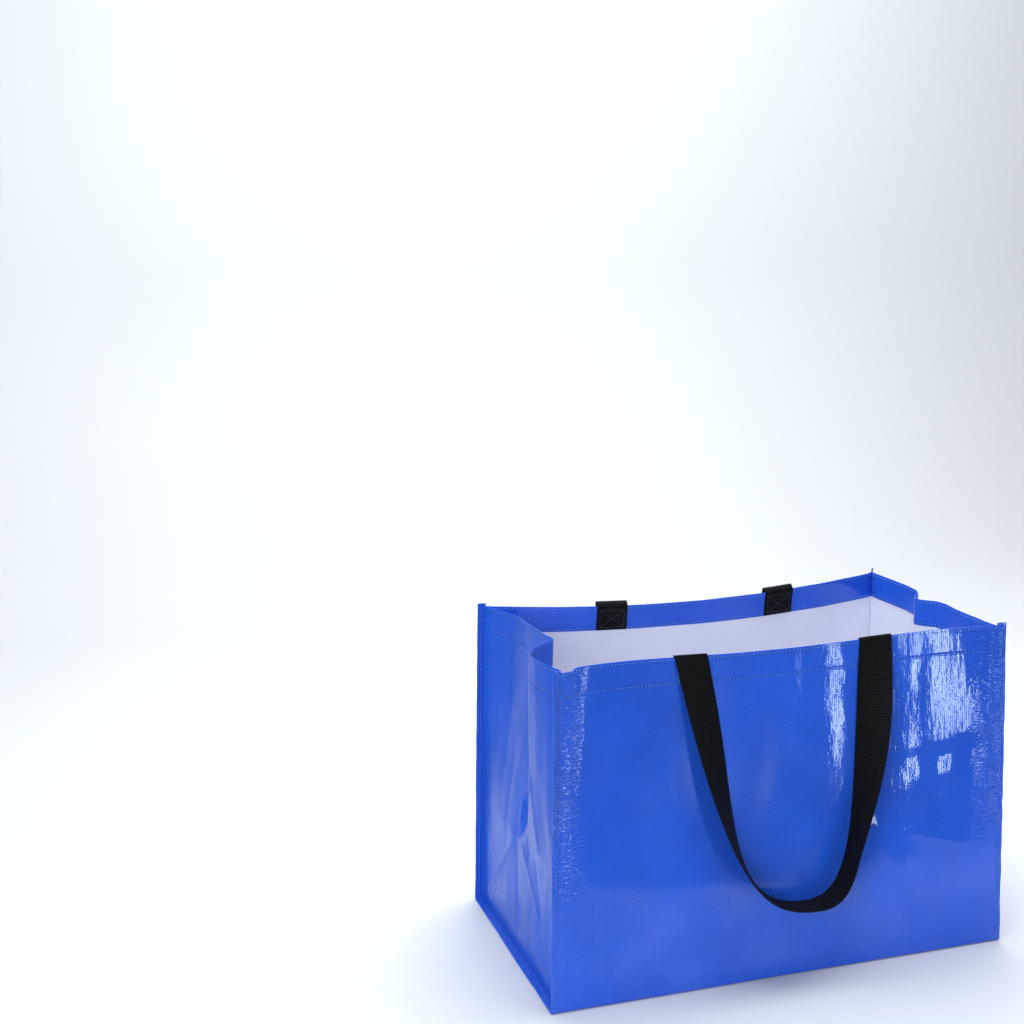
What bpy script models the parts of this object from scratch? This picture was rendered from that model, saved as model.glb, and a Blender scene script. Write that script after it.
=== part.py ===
"""A laminated woven shopping tote that stands open.

One wrap sheet makes the front, the bottom and the back. Two gusset sheets close the sides, each
with a centre pleat that opens towards the base. The side seams stand outwards: the edge of the wrap
folds round the edge of the gusset. Two webbing straps are sewn inside the rim and flop over it.

Metres, +Z up, -Y is the front. The origin is the middle of the underside.
"""

import math
from collections import namedtuple

import bmesh
import bpy
from mathutils import Vector, geometry

# Body
BASE_WIDTH = 0.530
RIM_WIDTH = 0.517
BASE_DEPTH = 0.299
RIM_DEPTH = 0.2785
HEIGHT = 0.377
SHEET = 0.0004
CLEARANCE = 0.0003
FOLD_RADIUS = 0.004
HEM_HEIGHT = 0.032

# Sag of the rim, and how far each panel bows into the bag at the middle of the rim
RIM_SAG = 0.008
FRONT_BOW = 0.022
BACK_BOW = 0.031
BOW_SQUARENESS = 3.5
BOW_RISE = 1.6

# Side seams: each turns back towards the rim by its own angle
SEAM_WIDTH = 0.0098
SEAM_EAR = 0.004
SEAM_BEND = 0.0012
BINDING_WIDTH = 0.0068
HEM_MARGIN = 0.005
SPLAY_RISE = 0.300
FRONT_LEFT_SPLAY = math.radians(24)
FRONT_RIGHT_SPLAY = math.radians(8)
BACK_LEFT_SPLAY = math.radians(5)
BACK_RIGHT_SPLAY = math.radians(52)

# The gussets' rims, from the front seam (-1) to the back seam (1): place, and depth into the bag
LEFT_PLEAT = (
    (-1.0, 0.0), (-0.86, -0.007), (-0.68, -0.012), (-0.52, -0.013), (-0.40, -0.008),
    (-0.31, 0.004), (-0.22, 0.024), (-0.17, 0.031), (-0.11, 0.029), (0.05, 0.026),
    (0.26, 0.025), (0.52, 0.023), (0.76, 0.015), (0.90, 0.007), (1.0, 0.0),
)
RIGHT_PLEAT = (
    (-1.0, 0.0), (-0.85, 0.002), (-0.62, 0.002), (-0.44, 0.003), (-0.26, 0.001),
    (-0.15, 0.004), (-0.07, 0.015), (0.0, 0.021), (0.07, 0.015), (0.15, 0.004),
    (0.25, -0.002), (0.45, -0.004), (0.68, -0.003), (0.86, -0.001), (1.0, 0.0),
)
PLEAT_RISE = 1.2

# Straps: each loop turns from flat on the panel at the rim to square off it at its lowest point,
# slowly along one leg and sooner along the other
STRAP_WIDTH = 0.038
STRAP_THICKNESS = 0.0013
HANDLE_SPACING = 0.221
FRONT_SHIFT = 0.005
BACK_SHIFT = 0.002
HANDLE_DROP = 0.2906
LOOP_LEAN = 0.019
STRAP_TURN = math.radians(97)
SLOW_TURN = 1.0
QUICK_TURN = 1.6
TURN_EASE = 1.12
TAB_INSET = 0.001
STRAP_CLEARANCE = 0.0004
FRONT_SLACK = 0.0006
BACK_SLACK = 0.006
SLACK_LENGTH = 0.018

# Mesh steps
HEM_ROWS = 2
TURN_STEPS = 4
PANEL_ROWS = 14
FOLD_STEPS = 4
BOTTOM_STEPS = 2
PANEL_COLUMNS = 12
ARCH_STEPS = 6
LEG_STEPS = 20

PLY = SHEET + CLEARANCE
HEM_TOP = HEIGHT - (SHEET + PLY) / 2
FOLD_TOP = SHEET / 2 + FOLD_RADIUS
STRAP_OFFSET = SHEET / 2 + STRAP_CLEARANCE + STRAP_THICKNESS / 2

FRONT, BACK = -1, 1
LEFT, RIGHT = -1, 1

Station = namedtuple("Station", "face y z inward_y inward_z")


def steps(first, last, count):
    return [first + (last - first) * i / count for i in range(count + 1)]


def half_width(z):
    return (BASE_WIDTH + (RIM_WIDTH - BASE_WIDTH) * z / HEIGHT) / 2


def half_depth(z):
    return (BASE_DEPTH + (RIM_DEPTH - BASE_DEPTH) * z / HEIGHT) / 2


def smooth(share):
    share = min(max(share, 0.0), 1.0)
    return share * share * (3 - 2 * share)


def offset(surface, a, b, turned, layer):
    """The point at (a, b) on a surface, moved along its normal by layer."""
    if layer == 0:
        return surface(a, b)
    nudge = 0.0005
    across = surface(a + nudge, b) - surface(a - nudge, b)
    upward = surface(a, b + nudge) - surface(a, b - nudge)
    return surface(a, b) + turned * layer * across.cross(upward).normalized()


def panel_surface(face):
    """Middle of the front or back panel: s runs from -1 at the left seam to 1 at the right one."""
    deepest = FRONT_BOW if face == FRONT else BACK_BOW

    def surface(s, z):
        share = z / HEIGHT
        middle = max(1 - abs(s), 0.0)
        bow = deepest * (1 - (1 - middle) ** BOW_SQUARENESS) * share**BOW_RISE
        sag = RIM_SAG * (1 - (1 - middle) ** 2) ** 2 * share**2
        return Vector((s * half_width(z), face * (half_depth(z) - bow), z - sag))

    return surface


def panel_point(face, s, z, layer):
    return offset(panel_surface(face), s, z, face, layer)


def upright_station(face, z):
    return Station(face, face * half_depth(z), z, -face, 0.0)


def fold_station(face, angle):
    """A place on the fold between a panel and the bottom, from 0 at the panel to a quarter turn."""
    y = face * (half_depth(0) - FOLD_RADIUS + FOLD_RADIUS * math.cos(angle))
    z = FOLD_TOP - FOLD_RADIUS * math.sin(angle)
    return Station(face, y, z, -face * math.cos(angle), math.sin(angle))


def bottom_station(y):
    return Station(0, y, SHEET / 2, 0.0, 1.0)


def upright_heights():
    """Heights of the rows on every upright face, from the rim to the bottom fold."""
    return steps(HEM_TOP, FOLD_TOP, PANEL_ROWS)


def fold_angles():
    return steps(0.0, math.pi / 2, FOLD_STEPS)


def splay(face, side, z):
    """How far a seam turns away from the bag at a height; at the base it lies square."""
    if face == FRONT:
        full = FRONT_LEFT_SPLAY if side == LEFT else FRONT_RIGHT_SPLAY
    else:
        full = BACK_LEFT_SPLAY if side == LEFT else BACK_RIGHT_SPLAY
    return full * smooth((z - FOLD_TOP) / SPLAY_RISE)


def seam_ear(face, side):
    """How far the top of a seam's edge stands above the rim."""
    return 0.0 if (face, side) == (FRONT, LEFT) else SEAM_EAR


def seam_point(station, side, out, layer):
    """A point of a seam: out is the distance from its root, layer the distance into the bag."""
    angle = splay(station.face, side, station.z)
    across = out * math.cos(angle) + layer * math.sin(angle)
    deep = layer * math.cos(angle) - out * math.sin(angle)
    return Vector((
        side * (half_width(station.z) + across),
        station.y + station.inward_y * deep,
        station.z + station.inward_z * deep,
    ))


def hem_rows():
    """(height, layer) from the hem's lower edge up and over the fold, up to the outer face."""
    rows = [(z, PLY) for z in steps(HEIGHT - HEM_HEIGHT, HEM_TOP, HEM_ROWS)]
    for angle in steps(0.0, math.pi, TURN_STEPS)[1:-1]:
        rows.append((HEM_TOP + PLY / 2 * math.sin(angle), PLY / 2 * (1 + math.cos(angle))))
    return rows


def grid_mesh(rows, columns, place):
    """A grid whose vertices go where place(row, column) says; where it says None there is a notch."""
    mesh = bmesh.new()
    bmesh.ops.create_grid(mesh, x_segments=columns - 1, y_segments=rows - 1, size=0.5)
    table = {}
    spare = []
    for vertex in mesh.verts:
        column = round((vertex.co.x + 0.5) * (columns - 1))
        row = round((vertex.co.y + 0.5) * (rows - 1))
        point = place(row, column)
        if point is None:
            spare.append(vertex)
        else:
            vertex.co = point
            table[row, column] = vertex
    bmesh.ops.delete(mesh, geom=spare, context="VERTS")
    return mesh, table


def add_object(name, mesh, material, thickness, collection):
    """Makes an object of an open sheet and gives it its thickness."""
    data = bpy.data.meshes.new(name)
    mesh.to_mesh(data)
    mesh.free()
    data.shade_smooth()
    data.set_sharp_from_angle(angle=math.radians(40))
    data.materials.append(material)
    made = bpy.data.objects.new(name, data)
    collection.objects.link(made)
    wall = made.modifiers.new("wall", "SOLIDIFY")
    wall.thickness = thickness
    wall.offset = 0.0
    wall.use_even_offset = True
    return made


def wrap_columns():
    """(side, out, layer) on the seams and (0, s, 0) on the panels, from left to right."""
    turn = SEAM_WIDTH - PLY
    edge = [(SEAM_WIDTH - BINDING_WIDTH, 2 * PLY), (turn, 2 * PLY)]
    for angle in steps(math.pi, 0.0, TURN_STEPS)[1:]:
        edge.append((turn + PLY * math.sin(angle), PLY * (1 - math.cos(angle))))
    edge.append((0.0, 0.0))
    margin = 2 * HEM_MARGIN / RIM_WIDTH
    panel = [(0, s, 0) for s in steps(margin - 1, 1 - margin, PANEL_COLUMNS)]
    left = [(LEFT, out, layer) for out, layer in edge]
    right = [(RIGHT, out, layer) for out, layer in reversed(edge)]
    return left + panel + right


def body_wrap(material, collection):
    columns = wrap_columns()
    front = [("upright", FRONT, z) for z in upright_heights()]
    front += [("fold", FRONT, angle) for angle in fold_angles()[1:]]
    back = [("upright", BACK, z) for z in upright_heights()]
    back += [("fold", BACK, angle) for angle in fold_angles()[1:]]
    reach = half_depth(0) - FOLD_RADIUS
    bottom = [("bottom", 0, y) for y in steps(-reach, reach, BOTTOM_STEPS)[1:-1]]
    hem_front = [("hem", FRONT, row) for row in hem_rows()]
    hem_back = [("hem", BACK, row) for row in reversed(hem_rows())]
    rows = hem_front + front + bottom + back[::-1] + hem_back
    makers = {"upright": upright_station, "fold": fold_station}

    def place(row, column):
        kind, face, where = rows[row]
        side, a, layer = columns[column]
        if kind == "hem":
            if side:
                return None
            height, inward = where
            point = panel_point(face, a, HEM_TOP if height > HEM_TOP else height, inward)
            point.z += max(height - HEM_TOP, 0.0)
            return point
        station = bottom_station(where) if kind == "bottom" else makers[kind](face, where)
        if side:
            point = seam_point(station, side, a, layer)
            if kind == "upright" and where == HEM_TOP and a > 0:
                point.z += seam_ear(face, side)
            return point
        if kind == "upright":
            return panel_point(face, a, where, 0)
        return Vector((a * half_width(station.z), station.y, station.z))

    mesh, _ = grid_mesh(len(rows), len(columns), place)
    return add_object("body_wrap", mesh, material, SHEET, collection)


def between(points, place):
    """Reads a list of (place, value) pairs along straight stretches."""
    for (low, first), (high, last) in zip(points, points[1:]):
        if place <= high:
            return first + (last - first) * (place - low) / (high - low)
    return points[-1][1]


def gusset_surface(side, pleat):
    """Middle of a gusset: t runs from -1 at the front seam to 1 at the back seam."""
    apex = BASE_DEPTH / 2

    def surface(t, z):
        front = seam_point(upright_station(FRONT, z), side, 0.0, PLY + SEAM_BEND)
        back = seam_point(upright_station(BACK, z), side, 0.0, PLY + SEAM_BEND)
        open_share = max(z - apex, 0.0) / (HEIGHT - apex)
        depth = between(pleat, min(max(t, -1.0), 1.0)) * open_share**PLEAT_RISE
        point = front.lerp(back, (t + 1) / 2)
        point.x -= side * depth
        return point

    return surface


def extrude_path(mesh, path):
    """Extrudes the edges along a row of vertices and gives the new row in the same order."""
    edges = [mesh.edges.get(pair) for pair in zip(path, path[1:])]
    made = bmesh.ops.extrude_edge_only(mesh, edges=edges)
    new = {item for item in made["geom"] if isinstance(item, bmesh.types.BMVert)}
    return [
        next(edge.other_vert(vertex) for edge in vertex.link_edges if edge.other_vert(vertex) in new)
        for vertex in path
    ]


def seam_edge_steps():
    """(out, layer) of a gusset's turned edge, after its root."""
    made = []
    for angle in steps(0.0, math.pi / 2, TURN_STEPS // 2)[1:]:
        made.append((SEAM_BEND * (1 - math.cos(angle)), PLY + SEAM_BEND * (1 - math.sin(angle))))
    made.append((SEAM_WIDTH - 2 * PLY, PLY))
    return made


def gusset(name, side, pleat, material, collection):
    surface = gusset_surface(side, pleat)
    places = [t for t, _ in pleat]
    uprights = upright_heights()
    rows = [("hem", row) for row in hem_rows()]
    rows += [("upright", z) for z in uprights]
    rows += [("fold", angle) for angle in fold_angles()[1:]]
    margin = 2 * HEM_MARGIN / RIM_DEPTH
    root = PLY + SEAM_BEND

    def place(row, column):
        kind, where = rows[row]
        t = places[column]
        if kind == "hem":
            if abs(t) > 1 - margin:
                return None
            height, layer = where
            point = offset(surface, t, min(height, HEM_TOP), -side, layer)
            point.z += max(height - HEM_TOP, 0.0)
            return point
        if kind == "upright":
            return surface(t, where)
        front = seam_point(fold_station(FRONT, where), side, 0.0, root)
        back = seam_point(fold_station(BACK, where), side, 0.0, root)
        return front.lerp(back, (t + 1) / 2)

    mesh, table = grid_mesh(len(rows), len(places), place)
    first = len(hem_rows())
    last = len(rows) - 1
    end = len(places) - 1
    path = [table[row, 0] for row in range(first, last + 1)]
    path += [table[last, column] for column in range(1, end)]
    path += [table[row, end] for row in range(last, first - 1, -1)]
    upright = [upright_station(FRONT, z) for z in uprights]
    upright += [fold_station(FRONT, angle) for angle in fold_angles()[1:]]
    stations = upright + [bottom_station(table[last, column].co.y) for column in range(1, end)]
    stations += [fold_station(BACK, angle) for angle in reversed(fold_angles()[1:])]
    stations += [upright_station(BACK, z) for z in reversed(uprights)]
    for out, layer in seam_edge_steps():
        path = extrude_path(mesh, path)
        for vertex, station in zip(path, stations):
            vertex.co = seam_point(station, side, out, layer)
    path[0].co.z += seam_ear(FRONT, side)
    path[-1].co.z += seam_ear(BACK, side)
    bmesh.ops.recalc_face_normals(mesh, faces=mesh.faces)
    return add_object(name, mesh, material, SHEET, collection)


def loop_route(mirrored):
    """(x, z, outward x, outward z, lift) along the inner edge of a hanging loop."""
    half = (HANDLE_SPACING - STRAP_WIDTH) / 2
    low = HEM_TOP - HANDLE_DROP
    knee = HEM_TOP - 0.585 * HANDLE_DROP
    bottom = Vector((LOOP_LEAN, low, 0))
    left = geometry.interpolate_bezier(
        Vector((-half, HEM_TOP, 0)), Vector((-0.64 * half, knee, 0)),
        Vector((-0.92 * half, low, 0)), bottom, LEG_STEPS + 1,
    )
    right = geometry.interpolate_bezier(
        bottom, Vector((0.98 * half, low, 0)),
        Vector((0.80 * half, knee, 0)), Vector((half, HEM_TOP, 0)), LEG_STEPS + 1,
    )
    points = left + right[1:]
    route = []
    for i, point in enumerate(points):
        share = 1 - abs(i / LEG_STEPS - 1)
        ahead = points[min(i + 1, len(points) - 1)] - points[max(i - 1, 0)]
        outward = Vector((ahead.y, -ahead.x, 0)).normalized()
        level = Vector((-1 if i < LEG_STEPS else 1, 0, 0))
        outward = level.lerp(outward, smooth(share * 5)).normalized()
        turned_share = min(share * (SLOW_TURN if i < LEG_STEPS else QUICK_TURN), 1.0)
        lift = STRAP_TURN * math.sin(math.pi / 2 * turned_share**TURN_EASE)
        turned = -1 if mirrored else 1
        route.append((turned * point.x, point.y, turned * outward.x, outward.y, lift))
    return route[::-1] if mirrored else route


def handle(name, face, shift, slack, material, collection):
    """A strap from one sewn tab over the rim, round its hanging loop and back to the other tab."""
    surface_layer = PLY + STRAP_OFFSET
    outer_layer = -STRAP_OFFSET - slack
    arch = (surface_layer - outer_layer) / 2
    middle = (surface_layer + outer_layer) / 2
    tab = [("flat", z, surface_layer) for z in steps(HEIGHT - HEM_HEIGHT + TAB_INSET, HEM_TOP, 2)]
    for angle in steps(0.0, math.pi, ARCH_STEPS)[1:-1]:
        tab.append(("flat", HEM_TOP + arch * math.sin(angle), middle + arch * math.cos(angle)))
    route = loop_route(mirrored=face == BACK)
    stations = [(LEFT, *station) for station in tab]
    stations += [(0, "loop", station, 0) for station in route]
    stations += [(RIGHT, *station) for station in reversed(tab)]

    def flat_place(side, across, height, layer):
        x = shift + side * HANDLE_SPACING / 2 + across * STRAP_WIDTH
        z = min(height, HEM_TOP)
        point = panel_point(face, x / half_width(z), z, layer)
        point.z += max(height - HEM_TOP, 0.0)
        return point

    def loop_place(station, share):
        x, z, outward_x, outward_z, lift = station
        reach = share * STRAP_WIDTH
        x += shift + reach * math.cos(lift) * outward_x
        z += reach * math.cos(lift) * outward_z
        loose = slack * math.exp(-(((HEM_TOP - z) / SLACK_LENGTH) ** 2))
        point = panel_point(face, x / half_width(z), z, -STRAP_OFFSET - loose)
        point.y += face * reach * math.sin(lift)
        return point

    def place(row, column):
        side, kind, where, layer = stations[row]
        if kind == "flat":
            return flat_place(side, side * (0.5 - column / 2), where, layer)
        return loop_place(where, 1 - column / 2)

    mesh, _ = grid_mesh(len(stations), 3, place)
    return add_object(name, mesh, material, STRAP_THICKNESS, collection)


def make_material(name, colour, roughness):
    material = bpy.data.materials.new(name)
    material.use_nodes = True
    shader = material.node_tree.nodes["Principled BSDF"]
    shader.inputs["Base Color"].default_value = (*colour, 1.0)
    shader.inputs["Roughness"].default_value = roughness
    shader.inputs["Metallic"].default_value = 0.0
    return material


def main():
    for old in list(bpy.data.objects):
        bpy.data.objects.remove(old)
    collection = bpy.data.collections.new("shopping_tote")
    bpy.context.scene.collection.children.link(collection)
    wrap_film = make_material("wrap_laminate", (0.030, 0.115, 0.680), 0.22)
    left_film = make_material("left_gusset_laminate", (0.032, 0.110, 0.640), 0.24)
    right_film = make_material("right_gusset_laminate", (0.032, 0.110, 0.640), 0.24)
    front_webbing = make_material("front_webbing", (0.010, 0.010, 0.012), 0.75)
    back_webbing = make_material("back_webbing", (0.010, 0.010, 0.012), 0.75)
    body_wrap(wrap_film, collection)
    gusset("gusset_left", LEFT, LEFT_PLEAT, left_film, collection)
    gusset("gusset_right", RIGHT, RIGHT_PLEAT, right_film, collection)
    handle("handle_front", FRONT, FRONT_SHIFT, FRONT_SLACK, front_webbing, collection)
    handle("handle_back", BACK, BACK_SHIFT, BACK_SLACK, back_webbing, collection)


main()
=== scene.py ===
"""The look of a laminated woven shopping tote that stands open on a pale table.

Three sheets of glossy woven laminate, white on the inside, are sewn with outward bound seams and
deep hems. Two webbing straps are sewn inside the rim and flop over it. Metres, -Y is the front.
"""

import math

import bmesh
import bpy
from mathutils import Matrix, Vector, geometry, noise


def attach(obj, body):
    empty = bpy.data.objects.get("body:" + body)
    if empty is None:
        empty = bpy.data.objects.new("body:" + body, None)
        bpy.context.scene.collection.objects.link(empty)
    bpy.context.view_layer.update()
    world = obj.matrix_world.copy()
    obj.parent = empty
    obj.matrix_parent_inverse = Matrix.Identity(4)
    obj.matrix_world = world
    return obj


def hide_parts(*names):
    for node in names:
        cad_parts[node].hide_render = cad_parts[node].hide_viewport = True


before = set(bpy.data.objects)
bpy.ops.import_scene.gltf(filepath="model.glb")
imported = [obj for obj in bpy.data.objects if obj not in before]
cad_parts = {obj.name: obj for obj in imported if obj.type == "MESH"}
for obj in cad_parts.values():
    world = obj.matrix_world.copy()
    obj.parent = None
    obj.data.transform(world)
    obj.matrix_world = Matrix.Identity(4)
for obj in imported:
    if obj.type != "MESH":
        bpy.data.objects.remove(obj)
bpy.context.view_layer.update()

FRONT, BACK = -1, 1
LEFT, RIGHT = -1, 1

# Body
BASE_WIDTH = 0.530
RIM_WIDTH = 0.517
BASE_DEPTH = 0.299
RIM_DEPTH = 0.2785
HEIGHT = 0.377
SHEET = 0.0004
CLEARANCE = 0.0003
FOLD_RADIUS = 0.004
HEM_HEIGHT = 0.032
RIM_SAG = 0.008
FRONT_BOW = 0.022
BACK_BOW = 0.031
BOW_SQUARENESS = 3.5
BOW_RISE = 1.6

# Side seams
SEAM_WIDTH = 0.0098
SEAM_EAR = 0.004
SEAM_BEND = 0.0012
BINDING_WIDTH = 0.0068
HEM_MARGIN = 0.0008
SPLAY_RISE = 0.300
FRONT_LEFT_SPLAY = math.radians(24)
FRONT_RIGHT_SPLAY = math.radians(8)
BACK_LEFT_SPLAY = math.radians(5)
BACK_RIGHT_SPLAY = math.radians(52)

# Straps
STRAP_WIDTH = 0.038
STRAP_THICKNESS = 0.0013
HANDLE_SPACING = 0.221
SHIFT = {FRONT: 0.005, BACK: 0.002}
HANDLE_DROP = 0.2906
LOOP_LEAN = 0.019
STRAP_TURN = math.radians(97)
SLOW_TURN = 1.0
QUICK_TURN = 1.6
TURN_EASE = 1.12
TAB_INSET = 0.001
STRAP_CLEARANCE = 0.0004
FRONT_SLACK = 0.0006
BACK_SLACK = 0.006
SLACK_LENGTH = 0.018

# Stitching
HEM_STITCH = 0.029
RIM_STITCH = 0.003
SEAM_STITCH = 0.0050
HEM_PITCH = 0.0043
SEAM_PITCH = 0.0036
BOX_PITCH = 0.0030
THREAD = 0.00042
THREAD_LENGTH, THREAD_START = 0.34, 0.5
# Size and place of the dark dashes at the needle holes, which are painted shade.
HOLE_LENGTH, HOLE_START = 0.15, 1.0  # in pitches, as the two above
STITCH_LINE = 0.0011  # between the mesh's rows beside a row of stitches
GROOVE_DEPTH = 0.00035
GROOVE_SPREAD = 0.0013
BOX_INSET = 0.0045
BOX_HALF = 0.40  # of the strap's width

# Weave
TAPE_ACROSS = 0.0024
TAPE_ALONG = 0.0027
RIB_PITCH = 0.0030
YARN_PITCH = 0.0016
PUCKERS_END, PUCKERS_FULL = -0.2824, -0.2224  # from the rim, on the wrap's pattern

# Studio
TABLE_SIZE = (5.2, 2.7, 1.0)
TABLE_MIDDLE = 0.85
TABLE_BACK = 2.1  # just in front of the table's far edge
SWEEP_HEIGHT = 2.6
SWEEP_RADIUS = 0.7
SOFT_WHITE = (0.90, 0.96, 1.0)
STRIP_BLUE = (0.72, 0.90, 1.0)
CAMERA_PLACE = (-0.7512, -1.5936, 0.8439)
CAMERA_YAW = math.radians(16.92)
CAMERA_PITCH = math.radians(11.094)
CAMERA_ROLL = math.radians(-0.662)
FOCAL_PIXELS = 1557.0
PICTURE_PIXELS = 1024.0
SENSOR_WIDTH = 36.0

PLY = SHEET + CLEARANCE
HEM_TOP = HEIGHT - (SHEET + PLY) / 2
FOLD_TOP = SHEET / 2 + FOLD_RADIUS
STRAP_OFFSET = SHEET / 2 + STRAP_CLEARANCE + STRAP_THICKNESS / 2
APEX = BASE_DEPTH / 2
APEX_ROUNDING = 0.012
NUDGE = 0.0005


# ---- Shapes of the sheets

def steps(first, last, count):
    return [first + (last - first) * i / count for i in range(count + 1)]


def half_width(z):
    return (BASE_WIDTH + (RIM_WIDTH - BASE_WIDTH) * z / HEIGHT) / 2


def half_depth(z):
    return (BASE_DEPTH + (RIM_DEPTH - BASE_DEPTH) * z / HEIGHT) / 2


def smooth(share):
    share = min(max(share, 0.0), 1.0)
    return share * share * (3 - 2 * share)


def between(points, place):
    """Reads a list of (place, value) pairs along straight stretches."""
    if place <= points[0][0]:
        return points[0][1]
    for (low, first), (high, last) in zip(points, points[1:]):
        if place <= high:
            return first + (last - first) * (place - low) / (high - low)
    return points[-1][1]


def eased(points, place, radius):
    """The same, with each corner rounded over a radius."""
    return sum(between(points, place + radius * k / 3) for k in range(-3, 4)) / 7


def swell(x, z, middle_x, middle_z, spread_x, spread_z):
    return math.exp(-((x - middle_x) / spread_x) ** 2 - ((z - middle_z) / spread_z) ** 2)


def crease(x, z, start, end, spread):
    """1 on a line from start to end, falling off sharply beside it and fading at its ends."""
    along_x, along_z = end[0] - start[0], end[1] - start[1]
    length = math.hypot(along_x, along_z)
    share = ((x - start[0]) * along_x + (z - start[1]) * along_z) / length**2
    aside = abs((x - start[0]) * along_z - (z - start[1]) * along_x) / length
    return math.exp(-aside / spread) * smooth(share * 5 + 0.5) * smooth((1 - share) * 5 + 0.5)


def wavy(seed, a, b):
    return noise.noise(Vector((a, b, seed)))


def calm(x, z):
    """0 at the side seams and at the bottom fold, 1 away from them."""
    return smooth((half_width(z) - abs(x)) / 0.011) * smooth((z - 0.004) / 0.05)


def front_relief(x, z):
    """How far the front panel stands out from its plain shape."""
    right = smooth((x - 0.09) / 0.05)
    relief = 0.0005 * wavy(3.1, x / 0.11, z / 0.16)
    relief += (0.0002 + 0.0002 * right) * wavy(7.7, x / 0.045, z / 0.07)
    relief += (0.00005 + 0.00024 * right) * wavy(1.3, x / 0.016, z / 0.06) * smooth((z - 0.13) / 0.12)
    fold = [(0.06, 0.0), (0.178, 0.0022), (0.236, 0.0008), (0.252, 0.0028), (0.345, 0.0)]
    relief += eased(fold, z + 0.10 * (0.21 - x), 0.006) * swell(x, 0, 0.215, 0, 0.08, 1)
    relief += 0.0016 * swell(x, z, 0.0785 + 0.004 * wavy(2.2, 0, z / 0.03), 0.315, 0.014, 0.10)
    relief += 0.00045 * swell(x, z, 0.0275, 0.35, 0.0045, 0.035)
    relief += 0.0004 * swell(x, z, 0.168 + 0.003 * wavy(4.2, 0, z / 0.02), 0.33, 0.0045, 0.045)
    relief += 0.0018 * swell(x, z, 0.167, 0.212, 0.014, 0.024)
    relief += 0.0017 * swell(x, z, 0.208 + 0.004 * wavy(6.2, 0, z / 0.02), 0.218, 0.014, 0.028)
    relief += 0.0018 * crease(x, z, (0.112, 0.170), (0.140, 0.100), 0.010)
    relief += 0.0010 * crease(x, z, (0.150, 0.150), (0.225, 0.125), 0.006)
    relief -= 0.0012 * swell(x, z, 0.035, 0.125, 0.045, 0.030)
    pucker = swell(x, 0, -half_width(z) + 0.012, 0, 0.009, 1) * smooth((z - 0.10) / 0.10)
    relief += 0.0009 * pucker * (1 + 0.5 * wavy(5.9, x / 0.012, z / 0.006))
    pucker = swell(x, 0, half_width(z) - 0.008, 0, 0.004, 1) * smooth((z - 0.17) / 0.1)
    relief += 0.0004 * pucker * (1 + 0.6 * wavy(9.2, x / 0.012, z / 0.007))
    return relief * calm(x, z)


def corner_sink(x, z):
    """The rim's unhemmed corner at the front left sits a little lower than the rest."""
    return 0.0032 * smooth((z - 0.34) / 0.03) * smooth((-half_width(z) + 0.0175 - x) / 0.003)


def back_relief(x, z):
    relief = 0.0018 * wavy(13.1, x / 0.10, z / 0.14) + 0.0009 * wavy(17.7, x / 0.05, z / 0.07)
    relief += 0.0004 * wavy(11.3, x / 0.018, z / 0.10)
    relief += 0.0018 * crease(x, z, (-0.19, 0.30), (-0.07, 0.22), 0.008)
    relief += 0.0016 * crease(x, z, (0.20, 0.20), (0.08, 0.11), 0.008)
    pucker = swell(abs(x), 0, half_width(z) - 0.012, 0, 0.010, 1)
    relief += 0.0006 * pucker * wavy(15.9, x / 0.012, z / 0.005)
    return relief * calm(x, z)


def stitch_groove(z, line):
    return GROOVE_DEPTH * math.exp(-(((z - line) / GROOVE_SPREAD) ** 2))


def offset(surface, a, b, turned, layer):
    """The point at (a, b) on a surface, moved along its normal by layer."""
    across = surface(a + NUDGE, b) - surface(a - NUDGE, b)
    upward = surface(a, b + NUDGE) - surface(a, b - NUDGE)
    return surface(a, b) + turned * layer * across.cross(upward).normalized()


def panel_surface(face):
    deepest = FRONT_BOW if face == FRONT else BACK_BOW

    def surface(s, z):
        share = z / HEIGHT
        middle = max(1 - abs(s), 0.0)
        bow = deepest * (1 - (1 - middle) ** BOW_SQUARENESS) * share**BOW_RISE
        sag = RIM_SAG * (1 - (1 - middle) ** 2) ** 2 * share**2
        return Vector((s * half_width(z), face * (half_depth(z) - bow), z - sag))

    return surface


PANELS = {FRONT: panel_surface(FRONT), BACK: panel_surface(BACK)}


def panel_point(face, s, z, layer):
    """s runs from -1 at the left seam to 1 at the right one; layer is the distance into the bag."""
    relief = front_relief if face == FRONT else back_relief
    out = relief(s * half_width(z), z) - stitch_groove(z, HEIGHT - HEM_STITCH)
    point = offset(PANELS[face], s, z, face, layer - out)
    if face == FRONT:
        point.z -= corner_sink(point.x, z)
    return point


def station(face, y, z, inward_y, inward_z):
    return {"face": face, "y": y, "z": z, "inward_y": inward_y, "inward_z": inward_z}


def upright_station(face, z):
    return station(face, face * half_depth(z), z, -face, 0.0)


def fold_station(face, angle):
    y = face * (half_depth(0) - FOLD_RADIUS + FOLD_RADIUS * math.cos(angle))
    z = FOLD_TOP - FOLD_RADIUS * math.sin(angle)
    return station(face, y, z, -face * math.cos(angle), math.sin(angle))


def bottom_station(y):
    return station(0, y, SHEET / 2, 0.0, 1.0)


def splay(face, side, z):
    if face == FRONT:
        full = FRONT_LEFT_SPLAY if side == LEFT else FRONT_RIGHT_SPLAY
    else:
        full = BACK_LEFT_SPLAY if side == LEFT else BACK_RIGHT_SPLAY
    return full * smooth((z - FOLD_TOP) / SPLAY_RISE)


def seam_ear(face, side, z):
    """How far the top of a seam's edge stands above the rim."""
    return 0.0 if (face, side) == (FRONT, LEFT) else SEAM_EAR * smooth((z - HEM_TOP + 0.006) / 0.006)


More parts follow.
